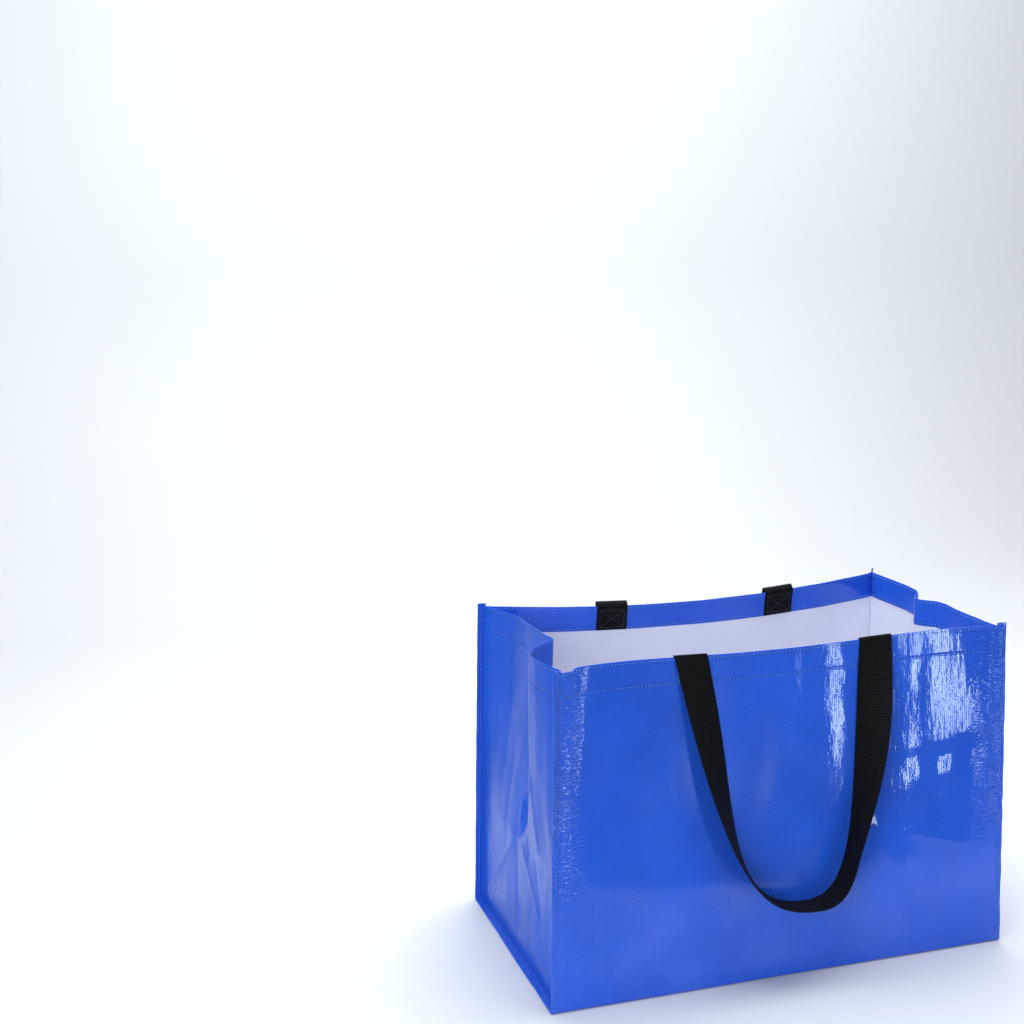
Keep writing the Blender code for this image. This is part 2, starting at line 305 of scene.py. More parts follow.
def seam_point(place, side, out, layer):
    """A point of a seam: out is the distance from its root, layer the distance into the bag."""
    run = place["z"] if place["face"] else place["y"]
    seed = 21.0 + 2 * place["face"] + side
    lift = 0.0011 * wavy(seed, run / 0.016, 0.5) * (out / SEAM_WIDTH) ** 2
    layer += lift * smooth((place["z"] - FOLD_TOP) / 0.02) if place["face"] else abs(lift)
    out += 0.0004 * wavy(seed + 9, run / 0.03, 0.5) * (out / SEAM_WIDTH)
    angle = splay(place["face"], side, place["z"])
    across = out * math.cos(angle) + layer * math.sin(angle)
    deep = layer * math.cos(angle) - out * math.sin(angle)
    return Vector((
        side * (half_width(place["z"]) + across),
        place["y"] + place["inward_y"] * deep,
        place["z"] + place["inward_z"] * deep,
    ))


def upright_heights():
    """Heights from the rim to the bottom fold, closer together at the hem's stitching."""
    line = HEIGHT - HEM_STITCH
    close = [line + STITCH_LINE * k for k in range(3, -4, -1)]
    return steps(HEM_TOP, close[0] + 0.002, 8) + close + steps(close[-1] - 0.003, FOLD_TOP, 100)


def fold_angles():
    return steps(0.0, math.pi / 2, 6)


def hem_rows(lowest):
    """(height, layer) from the hem's lower edge up and over the fold, up to the outer face."""
    line = HEIGHT - HEM_STITCH
    heights = [lowest, lowest + 0.0012] + [line + STITCH_LINE * k for k in (-1, 0, 1, 3)]
    rows = [(z, PLY) for z in heights + steps(line + 0.007, HEM_TOP, 5)]
    for angle in steps(0.0, math.pi, 6)[1:-1]:
        rows.append((HEM_TOP + PLY / 2 * math.sin(angle), PLY / 2 * (1 + math.cos(angle))))
    return rows


# ---- Making the meshes

def deselect_all():
    if bpy.context.mode != "OBJECT":
        bpy.ops.object.mode_set(mode="OBJECT")
    bpy.ops.object.select_all(action="DESELECT")


def make_active(piece):
    deselect_all()
    piece.select_set(True)
    bpy.context.view_layer.objects.active = piece


def apply_modifiers(piece):
    make_active(piece)
    for modifier in list(piece.modifiers):
        bpy.ops.object.modifier_apply(modifier=modifier.name)


def sheet_mesh(rows, columns, place):
    """A grid whose vertices go where place(row, column) says; where it says None there is a notch."""
    mesh = bmesh.new()
    bmesh.ops.create_grid(mesh, x_segments=columns - 1, y_segments=rows - 1, size=0.5)
    grid = {}
    flat = {}
    spare = []
    for vertex in mesh.verts:
        column = round((vertex.co.x + 0.5) * (columns - 1))
        row = round((vertex.co.y + 0.5) * (rows - 1))
        made = place(row, column)
        if made is None:
            spare.append(vertex)
        else:
            vertex.co, flat[vertex] = made
            grid[row, column] = vertex
    bmesh.ops.delete(mesh, geom=spare, context="VERTS")
    return mesh, grid, flat


def finish_sheet(name, mesh, flat, thickness, materials, outward):
    """Gives an open sheet its flat pattern as a UV map, its film side outwards, and its wall."""
    probe, direction = outward
    mesh.faces.ensure_lookup_table()
    mesh.normal_update()
    nearest = min(mesh.faces, key=lambda face: (face.calc_center_median() - probe).length)
    if nearest.normal.dot(direction) < 0:
        bmesh.ops.reverse_faces(mesh, faces=mesh.faces)
    layer = mesh.loops.layers.uv.new("flat")
    for face in mesh.faces:
        face.smooth = True
        for loop in face.loops:
            loop[layer].uv = flat[loop.vert]
    data = bpy.data.meshes.new(name)
    mesh.to_mesh(data)
    mesh.free()
    piece = bpy.data.objects.new(name, data)
    bpy.context.scene.collection.objects.link(piece)
    for material in materials:
        data.materials.append(material)
    wall = piece.modifiers.new("wall", "SOLIDIFY")
    wall.thickness = thickness
    wall.offset = 0.0
    wall.use_even_offset = True
    wall.material_offset = len(materials) - 1
    wall.material_offset_rim = len(materials) - 1
    apply_modifiers(piece)
    make_active(piece)
    bpy.ops.object.shade_smooth_by_angle(angle=math.radians(50))
    return piece


def cover_lining(piece, covered):
    """The hem is sewn into the seams, so that its film side shows there instead of the lining."""
    for polygon in piece.data.polygons:
        if polygon.center.z > HEIGHT - HEM_HEIGHT and covered(polygon.center):
            polygon.material_index = 0


def wrap_columns():
    """(side, out, layer, pattern place) on the seams and (0, s, 0, place) on the panels."""
    turn = SEAM_WIDTH - PLY
    edge = [(out, 2 * PLY) for out in steps(SEAM_WIDTH - BINDING_WIDTH, turn, 3)]
    for angle in steps(math.pi, 0.0, 6)[1:]:
        edge.append((turn + PLY * math.sin(angle), PLY * (1 - math.cos(angle))))
    edge += [(out, 0.0) for out in (0.007, SEAM_STITCH, 0.0028, 0.0)]
    run = BASE_WIDTH / 2
    places = [run]
    for (out, layer), (last_out, last_layer) in zip(edge[-2::-1], edge[:0:-1]):
        run += math.hypot(out - last_out, layer - last_layer)
        places.append(run)
    places.reverse()
    margin = 2 * HEM_MARGIN / RIM_WIDTH
    dense = steps(margin - 1, margin - 1 + 0.11, 9)
    panel = dense + steps(dense[-1], -dense[-1], 92)[1:-1] + [-s for s in reversed(dense)]
    left = [(LEFT, out, layer, -place) for (out, layer), place in zip(edge, places)]
    middle = [(0, s, 0.0, s * BASE_WIDTH / 2) for s in panel]
    right = [(RIGHT, out, layer, place) for (out, layer), place in reversed(list(zip(edge, places)))]
    return left + middle + right


def wrap_rows():
    """(kind, face, where, pattern place) from the front hem's edge to the back hem's."""
    def half(face):
        rows = []
        for height, inward in hem_rows(HEIGHT - HEM_HEIGHT):
            run = HEIGHT - height if inward == PLY else SHEET
            rows.append(("hem", face, (height, inward), run))
        for z in upright_heights():
            rows.append(("upright", face, z, z - HEIGHT))
        for angle in fold_angles()[1:]:
            rows.append(("fold", face, angle, FOLD_TOP - HEIGHT - FOLD_RADIUS * angle))
        return rows

    reach = half_depth(0) - FOLD_RADIUS
    base = FOLD_TOP - HEIGHT - FOLD_RADIUS * math.pi / 2 - reach
    bottom = [("bottom", 0, y, base - y) for y in steps(-reach, reach, 30)[1:-1]]
    back = [(kind, face, where, 2 * base - run) for kind, face, where, run in half(BACK)]
    return half(FRONT) + bottom + back[::-1]


def make_wrap(film, lining):
    """The front, the bottom and the back in one sheet, with both hems and the bound edges."""
    rows = wrap_rows()
    columns = wrap_columns()

    def place(row, column):
        kind, face, where, run = rows[row]
        side, a, layer, across = columns[column]
        if kind == "hem":
            if side:
                return None
            height, inward = where
            point = panel_point(face, a, min(height, HEM_TOP), inward)
            point.z += max(height - HEM_TOP, 0.0)
        elif side:
            if kind == "upright":
                spot = upright_station(face, where)
            else:
                spot = bottom_station(where) if kind == "bottom" else fold_station(face, where)
            point = seam_point(spot, side, a, layer)
            if kind == "upright" and a > 0:
                point.z += seam_ear(face, side, where)
        elif kind == "upright":
            point = panel_point(face, a, where, 0)
        else:
            spot = bottom_station(where) if kind == "bottom" else fold_station(face, where)
            point = Vector((a * half_width(spot["z"]), spot["y"], spot["z"]))
        return point, (across, run)

    mesh, _, flat = sheet_mesh(len(rows), len(columns), place)
    outward = (Vector((0, -half_depth(0), 0.05)), Vector((0, -1, 0)))
    piece = finish_sheet("wrap_sheet", mesh, flat, SHEET, (film, lining), outward)
    cover_lining(piece, lambda spot: abs(spot.x) > half_width(spot.z) - 0.004)
    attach(piece, "root")
    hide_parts("body_wrap")
    return piece


def pleat_rise(z):
    """0 up to the point where the gusset's fold begins, 1 at the rim."""
    return smooth((z - APEX + APEX_ROUNDING) / (HEIGHT - APEX + APEX_ROUNDING))


def left_pleat(t, z):
    """Depth into the bag of the left gusset: a pushed-in fold that leans towards the front."""
    rise = pleat_rise(z) ** 0.5
    bend = rise**0.45
    ridge, valley = -0.05 - 0.47 * bend, 0.02 - 0.19 * bend
    out, deep = -0.013 * rise, 0.031 * rise**0.75
    back = 0.025 * rise
    profile = [
        (-1.0, 0.0), (-0.84, 0.60 * out), (ridge - 0.16, 0.97 * out), (ridge, out),
        (ridge + 0.35 * (valley - ridge), 0.1 * deep + 0.5 * out), (valley, deep),
        (valley + 0.10, 0.55 * deep + 0.45 * back), (valley + 0.40, back), (0.58, 0.88 * back),
        (0.78, 0.52 * back), (0.92, 0.20 * back), (1.0, 0.0),
    ]
    return eased(profile, t, 0.014)


def right_pleat(t, z):
    """The same for the right gusset, which is pushed in less, at its middle."""
    rise = pleat_rise(z) ** 0.6
    profile = [
        (-1.0, 0.0), (-0.85, 0.002 * rise), (-0.44, 0.003 * rise), (-0.26, 0.001 * rise),
        (-0.15, 0.004 * rise), (-0.06, 0.017 * rise**0.7), (0.0, 0.021 * rise**0.7),
        (0.06, 0.017 * rise**0.7), (0.15, 0.004 * rise), (0.25, -0.002 * rise),
        (0.45, -0.004 * rise), (0.86, -0.001 * rise), (1.0, 0.0),
    ]
    return eased(profile, t, 0.014)


def gusset_calm(y, z):
    """0 at the gusset's seams, 1 away from them."""
    return smooth((half_depth(z) - abs(y)) / 0.02) * smooth((z - 0.004) / 0.03)


def gusset_creases(y, z, seed):
    """Sharp folds left by folding flat: two diagonals from the bottom corners, and small ones."""
    depth = half_depth(0)
    relief = -0.0013 * crease(y, z, (0.0, APEX), (-depth, 0.0), 0.004)
    relief -= 0.0013 * crease(y, z, (0.0, APEX), (depth, 0.0), 0.004)
    relief += 0.0014 * crease(y, z, (0.01, APEX - 0.005), (0.0, 0.02), 0.009)
    relief += 0.0009 * wavy(seed, y / 0.05, z / 0.09)
    relief += 0.0005 * wavy(seed + 2, y / 0.018, z / 0.05)
    return relief * gusset_calm(y, z)


def left_creases(y, z):
    relief = gusset_creases(y, z, 31.0)
    extra = -0.0020 * crease(y, z, (-0.045, 0.31), (0.006, 0.19), 0.004)
    extra += 0.0034 * swell(y, z, -0.006, 0.185, 0.014, 0.026)
    extra -= 0.0022 * crease(y, z, (0.012, 0.178), (0.010, 0.152), 0.003)
    extra -= 0.0018 * crease(y, z, (-0.062, 0.235), (-0.078, 0.150), 0.005)
    extra += 0.0012 * crease(y, z, (-0.060, 0.140), (-0.100, 0.020), 0.006)
    extra += 0.0010 * crease(y, z, (0.060, 0.24), (0.050, 0.12), 0.006)
    extra += 0.0016 * crease(y, z, (-0.022, 0.215), (-0.040, 0.130), 0.004)
    return relief + extra * gusset_calm(y, z)


def right_creases(y, z):
    relief = gusset_creases(y, z, 41.0)
    extra = 0.0030 * swell(y, z, 0.004, 0.180, 0.014, 0.026)
    extra -= 0.0016 * crease(y, z, (0.05, 0.27), (0.02, 0.17), 0.005)
    extra += 0.0012 * crease(y, z, (-0.05, 0.14), (-0.09, 0.03), 0.006)
    return relief + extra * gusset_calm(y, z)


def gusset_surface(side, pleat, creases):
    def surface(t, z):
        front = seam_point(upright_station(FRONT, z), side, 0.0, PLY + SEAM_BEND)
        back = seam_point(upright_station(BACK, z), side, 0.0, PLY + SEAM_BEND)
        t = min(max(t, -1.0), 1.0)
        point = front.lerp(back, (t + 1) / 2)
        point.x -= side * (pleat(t, z) + creases(point.y, z) + stitch_groove(z, HEIGHT - HEM_STITCH))
        return point

    return surface


def extrude_path(mesh, path):
    """Extrudes the edges along a row of vertices and gives the new row in the same order."""
    edges = [mesh.edges.get(pair) for pair in zip(path, path[1:])]
    made = bmesh.ops.extrude_edge_only(mesh, edges=edges)
    new = {item for item in made["geom"] if isinstance(item, bmesh.types.BMVert)}
    return [
        next(edge.other_vert(vertex) for edge in vertex.link_edges if edge.other_vert(vertex) in new)
        for vertex in path
    ]


def make_gusset(name, node, side, pleat, creases, film, lining):
    """One side: a hemmed sheet with a turned edge that lies inside the bound seams."""
    surface = gusset_surface(side, pleat, creases)
    margin = 2 * HEM_MARGIN / RIM_DEPTH
    places = [-1.0] + steps(margin - 1, 1 - margin, 96) + [1.0]
    uprights = upright_heights()
    rows = [("hem", row) for row in hem_rows(HEIGHT - HEM_HEIGHT)]
    rows += [("upright", z) for z in uprights]
    rows += [("fold", angle) for angle in fold_angles()[1:]]
    root = PLY + SEAM_BEND

    def place(row, column):
        kind, where = rows[row]
        t = places[column]
        if kind == "hem":
            if abs(t) == 1.0:
                return None
            height, layer = where
            point = offset(surface, t, min(height, HEM_TOP), -side, layer)
            point.z += max(height - HEM_TOP, 0.0)
            return point, (t * BASE_DEPTH / 2, 2 * HEIGHT - height)
        if kind == "upright":
            return surface(t, where), (t * BASE_DEPTH / 2, where)
        front = seam_point(fold_station(FRONT, where), side, 0.0, root)
        back = seam_point(fold_station(BACK, where), side, 0.0, root)
        return front.lerp(back, (t + 1) / 2), (t * BASE_DEPTH / 2, FOLD_TOP - FOLD_RADIUS * where)

    mesh, grid, flat = sheet_mesh(len(rows), len(places), place)
    first, last, end = len(hem_rows(0)), len(rows) - 1, len(places) - 1
    path = [grid[row, 0] for row in range(first, last + 1)]
    path += [grid[last, column] for column in range(1, end)]
    path += [grid[row, end] for row in range(last, first - 1, -1)]
    stations = [upright_station(FRONT, z) for z in uprights]
    stations += [fold_station(FRONT, angle) for angle in fold_angles()[1:]]
    stations += [bottom_station(grid[last, column].co.y) for column in range(1, end)]
    stations += [fold_station(BACK, angle) for angle in reversed(fold_angles()[1:])]
    stations += [upright_station(BACK, z) for z in reversed(uprights)]
    turned = [(SEAM_BEND * (1 - math.cos(angle)), PLY + SEAM_BEND * (1 - math.sin(angle)))
              for angle in steps(0.0, math.pi / 2, 4)[1:]]
    turned += [(out, PLY) for out in (SEAM_STITCH, SEAM_WIDTH - 2 * PLY)]
    for out, layer in turned:
        old = path
        path = extrude_path(mesh, path)
        for vertex, root_vertex, spot in zip(path, old, stations):
            vertex.co = seam_point(spot, side, out, layer)
            if spot["face"]:
                vertex.co.z += seam_ear(spot["face"], side, spot["z"])
            u, v = flat[root_vertex]
            reach = BASE_DEPTH / 2 + out
            flat[vertex] = (math.copysign(reach, spot["y"]), v) if spot["face"] else (u, -out)
    outward = (Vector((side * half_width(0), -0.09, 0.03)), Vector((side, 0, 0)))
    piece = finish_sheet(name, mesh, flat, SHEET, (film, lining), outward)

    def in_seam(spot):
        return abs(spot.y) > half_depth(spot.z) - 0.005 or abs(spot.x) > half_width(spot.z)

    cover_lining(piece, in_seam)
    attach(piece, "root")
    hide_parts(node)
    return piece


# ---- Straps

def loop_route(mirrored, count):
    """(x, z, outward x, outward z, lift) along the inner edge of a hanging loop."""
    half = (HANDLE_SPACING - STRAP_WIDTH) / 2
    low = HEM_TOP - HANDLE_DROP
    knee = HEM_TOP - 0.585 * HANDLE_DROP
    bottom = Vector((LOOP_LEAN, low, 0))
    left = geometry.interpolate_bezier(
        Vector((-half, HEM_TOP, 0)), Vector((-0.64 * half, knee, 0)),
        Vector((-0.92 * half, low, 0)), bottom, count + 1,
    )
    right = geometry.interpolate_bezier(
        bottom, Vector((0.98 * half, low, 0)),
        Vector((0.80 * half, knee, 0)), Vector((half, HEM_TOP, 0)), count + 1,
    )
    points = left + right[1:]
    route = []
    for i, point in enumerate(points):
        share = 1 - abs(i / count - 1)
        ahead = points[min(i + 1, len(points) - 1)] - points[max(i - 1, 0)]
        outward = Vector((ahead.y, -ahead.x, 0)).normalized()
        level = Vector((-1 if i < count else 1, 0, 0))
        outward = level.lerp(outward, smooth(share * 5)).normalized()
        turned_share = min(share * (SLOW_TURN if i < count else QUICK_TURN), 1.0)
        lift = STRAP_TURN * math.sin(math.pi / 2 * turned_share**TURN_EASE)
        turned = -1 if mirrored else 1
        route.append((turned * point.x, point.y, turned * outward.x, outward.y, lift))
    return route[::-1] if mirrored else route


def tab_point(face, side, across, height, layer):
    x = SHIFT[face] + side * HANDLE_SPACING / 2 + across * STRAP_WIDTH
    z = min(height, HEM_TOP)
    point = panel_point(face, x / half_width(z), z, layer)
    point.z += max(height - HEM_TOP, 0.0)
    return point


def make_strap(name, node, face, slack, webbing):
    """Webbing from one sewn tab over the rim, round the hanging loop and back to the other tab."""
    columns = 12
    inner_layer = PLY + STRAP_OFFSET
    outer_layer = -STRAP_OFFSET - slack
    arch = (inner_layer - outer_layer) / 2
    middle = (inner_layer + outer_layer) / 2
    tab = [(z, inner_layer) for z in steps(HEIGHT - HEM_HEIGHT + TAB_INSET, HEM_TOP, 10)]
    for angle in steps(0.0, math.pi, 12)[1:-1]:
        tab.append((HEM_TOP + arch * math.sin(angle), middle + arch * math.cos(angle)))
    stations = [("tab", LEFT, place) for place in tab]
    stations += [("loop", 0, place) for place in loop_route(face == BACK, 70)]
    stations += [("tab", RIGHT, place) for place in reversed(tab)]

    def loop_point(place, share):
        x, z, outward_x, outward_z, lift = place
        reach = share * STRAP_WIDTH
        x += SHIFT[face] + reach * math.cos(lift) * outward_x
        z += reach * math.cos(lift) * outward_z
        loose = slack * math.exp(-(((HEM_TOP - z) / SLACK_LENGTH) ** 2))
        point = panel_point(face, x / half_width(z), z, -STRAP_OFFSET - loose)
        point.y += face * reach * math.sin(lift)
        return point

    def spot(row, share):
        kind, side, where = stations[row]
        if kind == "tab":
            return tab_point(face, side, side * (0.5 - share), *where)
        return loop_point(where, 1 - share)

    runs = [0.0]
    for row in range(1, len(stations)):
        runs.append(runs[-1] + (spot(row, 0.5) - spot(row - 1, 0.5)).length)

    def place(row, column):
        share = column / columns
        return spot(row, share), ((share - 0.5) * STRAP_WIDTH, runs[row])

    mesh, _, flat = sheet_mesh(len(stations), columns + 1, place)
    outward = (spot(len(stations) // 2, 0.5), Vector((0, 0, -1)))
    piece = finish_sheet(name, mesh, flat, STRAP_THICKNESS, (webbing,), outward)
    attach(piece, "root")
    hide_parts(node)
    return piece, runs[-1]


# ---- Stitching

def one_stitch():
    """A single stitch along X: a short thread that is thickest in its middle."""
    deselect_all()
    bpy.ops.mesh.primitive_uv_sphere_add(segments=6, ring_count=5, radius=1.0)
    stitch = bpy.context.object
    stitch.name = "stitch_pattern"
    bpy.ops.object.mode_set(mode="EDIT")
    bpy.ops.mesh.select_all(action="SELECT")
    bpy.ops.transform.rotate(value=math.pi / 2, orient_axis="Y", center_override=(0, 0, 0))
    bpy.ops.object.mode_set(mode="OBJECT")
    return stitch


def sew(name, pattern, thread, rows, share=THREAD_LENGTH, first=THREAD_START):
    """Lays a stitch in each pitch of each row of (point, normal) pairs.

    share is half a stitch's length and first is where the first one lies, both in pitches.
    """
    mesh = bmesh.new()
    for row, pitch in rows:
        run = 0.0
        due = pitch * first
        for (start, start_normal), (end, end_normal) in zip(row, row[1:]):
            length = (end - start).length
            if length == 0:
                continue
            while due <= run + length:
                part = (due - run) / length
                along = (end - start).normalized()
                normal = start_normal.lerp(end_normal, part).normalized()
                side = normal.cross(along).normalized()
                normal = along.cross(side)
                turn = Matrix((along, side, normal)).transposed().to_4x4()
                size = Matrix.Diagonal((pitch * share, THREAD, THREAD * 0.9, 1.0))
                where = start.lerp(end, part) + normal * THREAD * 0.35
                before = len(mesh.verts)
                mesh.from_mesh(pattern.data)
                mesh.verts.ensure_lookup_table()
                bmesh.ops.transform(
                    mesh, matrix=Matrix.Translation(where) @ turn @ size, verts=mesh.verts[before:],
                )
                due += pitch
            run += length
    data = bpy.data.meshes.new(name)
    mesh.to_mesh(data)
    mesh.free()
    data.shade_smooth()
    data.materials.append(thread)
    piece = bpy.data.objects.new(name, data)
    bpy.context.scene.collection.objects.link(piece)
    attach(piece, "root")
    return piece


def surface_row(place, shares, turned):
    """(point, normal) pairs where place(share) gives a point, and place(share, nudge) one above."""
    row = []
    for i, share in enumerate(shares):
        point = place(share, 0.0)
        ahead = place(shares[min(i + 1, len(shares) - 1)], 0.0) - place(shares[max(i - 1, 0)], 0.0)
        upward = place(share, 0.002) - point
        row.append((point, turned * ahead.cross(upward).normalized()))
    return row


def hem_stitching(pattern, thread, shadow):
    """Rows round the rim, on the outside and on the folded-in side."""
    rows = []
    margin = 2 * HEM_MARGIN / RIM_WIDTH
    for face in (FRONT, BACK):
        shares = steps(margin - 1, 1 - margin, 120)
        for line in (HEIGHT - HEM_STITCH, HEIGHT - RIM_STITCH):
            for layer, sign in ((-SHEET / 2, 1), (PLY + SHEET / 2, -1)):
                def place(s, nudge, face=face, line=line, layer=layer):
                    return panel_point(face, s, line + nudge, layer)
                rows.append((surface_row(place, shares, -face * sign), HEM_PITCH))
    gussets = ((LEFT, left_pleat, left_creases), (RIGHT, right_pleat, right_creases))
    for side, pleat, creases in gussets:
        surface = gusset_surface(side, pleat, creases)
        shares = steps(margin - 1, 1 - margin, 90)
        for line in (HEIGHT - HEM_STITCH, HEIGHT - RIM_STITCH):
            for layer, sign in ((-SHEET / 2, 1), (PLY + SHEET / 2, -1)):
                def place(t, nudge, surface=surface, side=side, line=line, layer=layer):
                    return offset(surface, t, line + nudge, -side, layer)
                rows.append((surface_row(place, shares, side * sign), HEM_PITCH))
    # Dark dashes of painted shade at each needle hole, then the thread.
    sew("hem_needle_hole_shade", pattern, shadow, rows, HOLE_LENGTH, HOLE_START)
    return sew("hem_stitching", pattern, thread, rows)


def seam_stitching(pattern, thread, shadow):
    """A row down each bound seam and along the bottom, on both sides of the seam."""
    rows = []
    for side in (LEFT, RIGHT):
        for face in (FRONT, BACK):
            for layer, sign in ((-SHEET / 2, 1), (2 * PLY + SHEET / 2, -1)):
                row = []
                for z in steps(HEM_TOP - 0.002, FOLD_TOP, 110):
                    place = upright_station(face, z)
                    point = seam_point(place, side, SEAM_STITCH, layer)
                    inward = seam_point(place, side, SEAM_STITCH, layer + 0.001) - point
                    row.append((point, -sign * inward.normalized()))
                rows.append((row, SEAM_PITCH))
        row = []
        for y in steps(-half_depth(0) + 0.008, half_depth(0) - 0.008, 60):
            point = seam_point(bottom_station(y), side, SEAM_STITCH, 2 * PLY + SHEET / 2)
            row.append((point, Vector((0, 0, 1))))
        rows.append((row, SEAM_PITCH))
    # Dark dashes of painted shade at each needle hole, then the thread.
    sew("seam_needle_hole_shade", pattern, shadow, rows, HOLE_LENGTH, HOLE_START)
    sew("seam_stitching", pattern, thread, rows)


def strap_stitching(name, pattern, thread, layer, sign):
    """A crossed box on each end of the straps."""
    low = HEIGHT - HEM_HEIGHT + BOX_INSET
    high = HEM_TOP - BOX_INSET
    corners = [(-BOX_HALF, low), (BOX_HALF, low), (BOX_HALF, high), (-BOX_HALF, high), (-BOX_HALF, low)]
    lines = list(zip(corners, corners[1:]))
    lines += [((-BOX_HALF, low), (BOX_HALF, high)), ((-BOX_HALF, high), (BOX_HALF, low))]
    rows = []
    for face in (FRONT, BACK):
        for side in (LEFT, RIGHT):
            for start, end in lines:
                row = []
                for share in steps(0.0, 1.0, 16):
                    across = start[0] + (end[0] - start[0]) * share
                    height = start[1] + (end[1] - start[1]) * share
                    point = tab_point(face, side, across, height, layer)
                    inward = tab_point(face, side, across, height, layer + 0.001) - point
                    row.append((point, sign * inward.normalized()))
                rows.append((row, BOX_PITCH))
    sew(name, pattern, thread, rows)


# ---- Materials

def new_material(name, colour, roughness):
    material = bpy.data.materials.new(name)
    material.use_nodes = True
    shader = material.node_tree.nodes["Principled BSDF"]
    shader.inputs["Base Color"].default_value = (*colour, 1.0)
    shader.inputs["Roughness"].default_value = roughness
    return material, material.node_tree.nodes, material.node_tree.links, shader


def maths(nodes, links, kind, first, second=None, third=None):
    node = nodes.new("ShaderNodeMath")
    node.operation = kind
    for socket, value in zip(node.inputs, (first, second, third)):
        if value is None:
            continue
        if isinstance(value, (int, float)):
            socket.default_value = value
        else:
            links.new(value, socket)
    return node.outputs[0]


def flat_place(nodes, links):
    """The place on a sheet's flat pattern, in metres: the vector, the place across and along."""
    flat = nodes.new("ShaderNodeUVMap")
    flat.uv_map = "flat"
    parts = nodes.new("ShaderNodeSeparateXYZ")
    links.new(flat.outputs["UV"], parts.inputs[0])
    return flat.outputs["UV"], parts.outputs["X"], parts.outputs["Y"]


def tape_weave(nodes, links, across, along):
    """A plain weave of flat tapes: its height, from 0 in a gap to 1 on a tape, and which tape is up."""
    cells = []
    round_tops = []
    flat_tops = []
    for value, pitch in ((across, TAPE_ACROSS), (along, TAPE_ALONG)):
        value = maths(nodes, links, "DIVIDE", value, pitch)
        cells.append(maths(nodes, links, "FLOOR", value))
        part = maths(nodes, links, "FRACT", value)
        aside = maths(nodes, links, "ABSOLUTE", maths(nodes, links, "MULTIPLY_ADD", part, 2.0, -1.0))
        for tops, power in ((round_tops, 2.0), (flat_tops, 3.0)):
            fall = maths(nodes, links, "POWER", aside, power)
            tops.append(maths(nodes, links, "SUBTRACT", 1.0, fall))
    odd = maths(nodes, links, "PINGPONG", maths(nodes, links, "ADD", *cells), 1.0)
    mixed = nodes.new("ShaderNodeMix")
    links.new(odd, mixed.inputs["Factor"])
    links.new(maths(nodes, links, "MULTIPLY", round_tops[0], flat_tops[1]), mixed.inputs["A"])
    links.new(maths(nodes, links, "MULTIPLY", flat_tops[0], round_tops[1]), mixed.inputs["B"])
    return mixed.outputs["Result"], odd


def spread_over(nodes, links, value, low, high, first, last):
    """Runs from first to last while the value runs from low to high."""
    node = nodes.new("ShaderNodeMapRange")
    for name, number in (("From Min", low), ("From Max", high), ("To Min", first), ("To Max", last)):
        node.inputs[name].default_value = number
    links.new(value, node.inputs["Value"])
    return node.outputs["Result"]


def noise_on(nodes, links, vector, scale, detail, stretch=None):
    if stretch:
        mapping = nodes.new("ShaderNodeMapping")
        mapping.inputs["Scale"].default_value = stretch
        links.new(vector, mapping.inputs["Vector"])
        vector = mapping.outputs["Vector"]
    node = nodes.new("ShaderNodeTexNoise")
    node.inputs["Scale"].default_value = scale
    node.inputs["Detail"].default_value = detail
    links.new(vector, node.inputs["Vector"])
    return node.outputs["Fac"]


def bump_on(nodes, links, height, distance, strength=1.0, under=None):
    node = nodes.new("ShaderNodeBump")
    node.inputs["Distance"].default_value = distance
    node.inputs["Strength"].default_value = strength
    links.new(height, node.inputs["Height"])
    if under is not None:
        links.new(under, node.inputs["Normal"])
    return node.outputs["Normal"]


def shade_between(nodes, links, factor, dark, light, low=0.0, high=1.0):
    """A colour that runs from dark to light while the factor runs from low to high."""
    ramp = nodes.new("ShaderNodeValToRGB")
    for element, colour, position in zip(ramp.color_ramp.elements, (dark, light), (low, high)):
        element.color = (*colour, 1.0)
        element.position = position
    links.new(factor, ramp.inputs["Fac"])
    return ramp.outputs["Color"]


